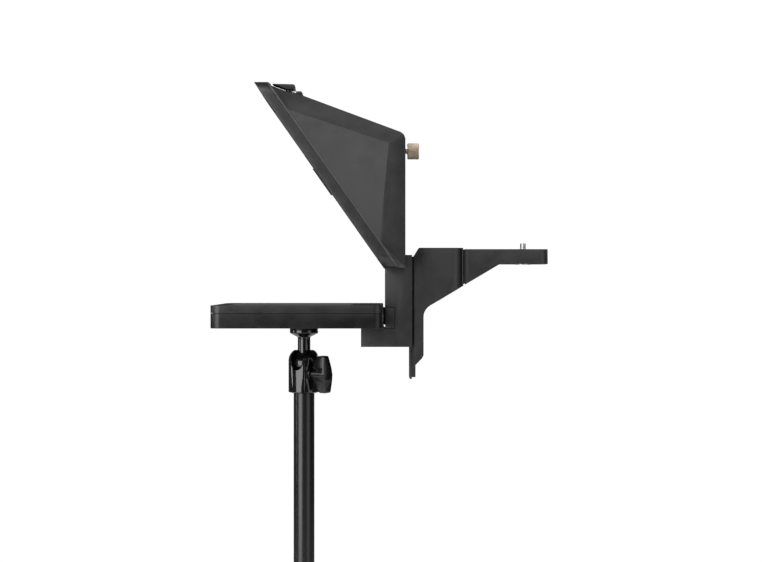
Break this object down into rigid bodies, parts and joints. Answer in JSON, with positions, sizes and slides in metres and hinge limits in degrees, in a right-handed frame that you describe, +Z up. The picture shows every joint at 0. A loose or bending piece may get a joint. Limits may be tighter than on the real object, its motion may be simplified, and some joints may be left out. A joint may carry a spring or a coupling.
{
  "type": "teleprompter",
  "caption": "Desk teleprompter: flat screen in a base, leaning beam splitter on a tapered hood, sliding camera bracket, ball head and clamp pole.",
  "frame": {"origin": "on the pole's axis, at the face of the clamp pad that rests on the desk", "axes": "+Z up along the pole, +X towards the camera, -X towards the reader, Y from side to side"},
  "size_m": [0.3539, 0.226, 0.7534],
  "materials": {
    "powder_coat": "satin",
    "hood_plastic": "satin",
    "frame_plastic": "satin",
    "base_dark": "satin",
    "base_light": "satin",
    "head_gloss": "gloss",
    "knob_gloss": "gloss",
    "pole_black": "satin",
    "clamp_coat": "satin",
    "rubber_black": "matte",
    "foam_black": "matte",
    "knurled_brass": "satin",
    "brass_insert": "satin",
    "steel": "satin",
    "screen_cover": "gloss",
    "beam_glass": "gloss",
    "lcd_black": "gloss",
    "diffuser_white": "matte",
    "board_green": "satin",
    "ribbon_amber": "satin",
    "nylon_white": "satin"
  },
  "bodies": {
    "stand": {"clamp_frame": "clamp_coat", "clamp_pad": "rubber_black", "outer_pole": "pole_black", "collar_sleeve": "nylon_white"},
    "clamp_foot": {"clamp_foot": "clamp_coat", "clamp_foot_pad": "rubber_black"},
    "clamp_spindle": {"clamp_spindle": "steel", "clamp_handle": "steel"},
    "pole_collar": {"pole_collar": "clamp_coat"},
    "pole": {"inner_pole": "pole_black", "pole_guide_bush": "nylon_white", "pole_top_plug": "steel", "head_base_stud": "steel", "head_housing": "head_gloss", "head_brake_shoe": "brass_insert"},
    "head_knob": {"head_wing_knob": "knob_gloss", "head_lock_screw": "steel"},
    "head_ball": {"head_ball": "head_gloss"},
    "head_stem": {"head_stem": "head_gloss"},
    "prompter": {"head_platform": "head_gloss", "head_pad": "rubber_black", "platform_stud": "steel", "base_lower_shell": "base_dark", "base_bezel": "base_light", "screen_glass": "screen_cover", "lcd_panel": "lcd_black", "backlight": "diffuser_white", "shield_plate": "steel", "main_board": "board_green", "display_ribbon": "ribbon_amber", "thread_insert": "brass_insert", "base_screws": "steel", "base_tongue": "powder_coat", "usb_socket": "steel", "column_body": "powder_coat", "column_cover": "base_dark", "column_insert": "brass_insert", "hood_shell": "hood_plastic", "hood_screws": "steel", "hood_insert": "brass_insert", "glass_frame": "frame_plastic", "frame_grips": "rubber_black", "glass_seal": "foam_black", "beam_splitter": "beam_glass", "glass_retainer": "frame_plastic", "latch_spring_left": "steel", "latch_spring_right": "steel", "latch_keepers": "frame_plastic", "lens_backplate": "hood_plastic", "lens_ring": "rubber_black"},
    "power_button": {"power_button": "base_dark"},
    "latch_left": {"frame_latch_left": "frame_plastic"},
    "latch_right": {"frame_latch_right": "frame_plastic"},
    "backplate_clip": {"backplate_screw_clip": "steel"},
    "backplate_screw": {"backplate_thumb_screw": "knurled_brass"},
    "bracket": {"camera_bracket": "powder_coat"},
    "bracket_washer": {"bracket_washer": "steel"},
    "bracket_screw": {"bracket_thumb_screw": "knurled_brass"},
    "camera_guide": {"camera_screw_guide": "steel"},
    "camera_screw": {"camera_screw": "steel"}
  },
  "joints": [
    {"name": "clamp_travel", "type": "slide", "parent": "stand", "child": "clamp_foot", "axis": [0, 0, 1], "range_m": [-0.017, 0.024]},
    {"name": "clamp_turn", "type": "hinge", "parent": "clamp_foot", "child": "clamp_spindle", "pos_m": [-0.008, 0, -0.05], "axis": [0, 0, 1], "range_deg": [-3062, 4322]},
    {"name": "collar_twist", "type": "hinge", "parent": "stand", "child": "pole_collar", "pos_m": [0, 0, 0.1], "axis": [0, 0, 1], "range_deg": [-45, 45]},
    {"name": "pole_extend", "type": "slide", "parent": "stand", "child": "pole", "axis": [0, 0, 1], "range_m": [-0.04, 0.01]},
    {"name": "head_knob_turn", "type": "hinge", "parent": "pole", "child": "head_knob", "pos_m": [0, 0, 0.3313], "axis": [0.6293, -0.7771, 0], "range_deg": [0, 360]},
    {"name": "ball_roll", "type": "hinge", "parent": "pole", "child": "head_ball", "pos_m": [0, 0, 0.3425], "axis": [1, 0, 0], "range_deg": [-10, 10]},
    {"name": "ball_tilt", "type": "hinge", "parent": "head_ball", "child": "head_stem", "pos_m": [0, 0, 0.3425], "axis": [0, 1, 0], "range_deg": [-10, 10]},
    {"name": "pan_swivel", "type": "hinge", "parent": "head_stem", "child": "prompter", "pos_m": [0, 0, 0.37], "axis": [0, 0, 1], "continuous": true},
    {"name": "power_press", "type": "slide", "parent": "prompter", "child": "power_button", "axis": [0, -1, 0], "range_m": [0, 0.001], "stiffness_N_per_m": 400},
    {"name": "latch_left_press", "type": "slide", "parent": "prompter", "child": "latch_left", "axis": [0, 0, -1], "range_m": [0, 0.0015], "stiffness_N_per_m": 600, "deforming": ["latch_spring_left"]},
    {"name": "latch_right_press", "type": "slide", "parent": "prompter", "child": "latch_right", "axis": [0, 0, -1], "range_m": [0, 0.0015], "stiffness_N_per_m": 600, "deforming": ["latch_spring_right"]},
    {"name": "backplate_screw_travel", "type": "slide", "parent": "prompter", "child": "backplate_clip", "axis": [1, 0, 0], "range_m": [0, 0.00254]},
    {"name": "backplate_screw_turn", "type": "hinge", "parent": "backplate_clip", "child": "backplate_screw", "pos_m": [0.11, 0, 0.57131], "axis": [1, 0, 0], "range_deg": [-1, 721]},
    {"name": "bracket_height", "type": "slide", "parent": "prompter", "child": "bracket", "axis": [0, 0, 1], "range_m": [-0.02, 0.03]},
    {"name": "bracket_screw_travel", "type": "slide", "parent": "prompter", "child": "bracket_washer", "axis": [1, 0, 0], "range_m": [0, 0.00254]},
    {"name": "bracket_screw_turn", "type": "hinge", "parent": "bracket_washer", "child": "bracket_screw", "pos_m": [0.12, 0, 0.43], "axis": [1, 0, 0], "range_deg": [-1, 721]},
    {"name": "camera_screw_slide", "type": "slide", "parent": "bracket", "child": "camera_guide", "axis": [1, 0, 0], "range_m": [-0.0275, 0.0055]},
    {"name": "camera_screw_turn", "type": "hinge", "parent": "camera_guide", "child": "camera_screw", "pos_m": [0.2369, 0, 0.459], "axis": [0, 0, 1], "continuous": true}
  ],
  "couplings": [
    {"joint": "clamp_turn", "follows": "clamp_travel", "rad_per_m": 3141.6},
    {"joint": "backplate_screw_turn", "follows": "backplate_screw_travel", "rad_per_m": 4947.4},
    {"joint": "bracket_screw_turn", "follows": "bracket_screw_travel", "rad_per_m": 4947.4}
  ]
}
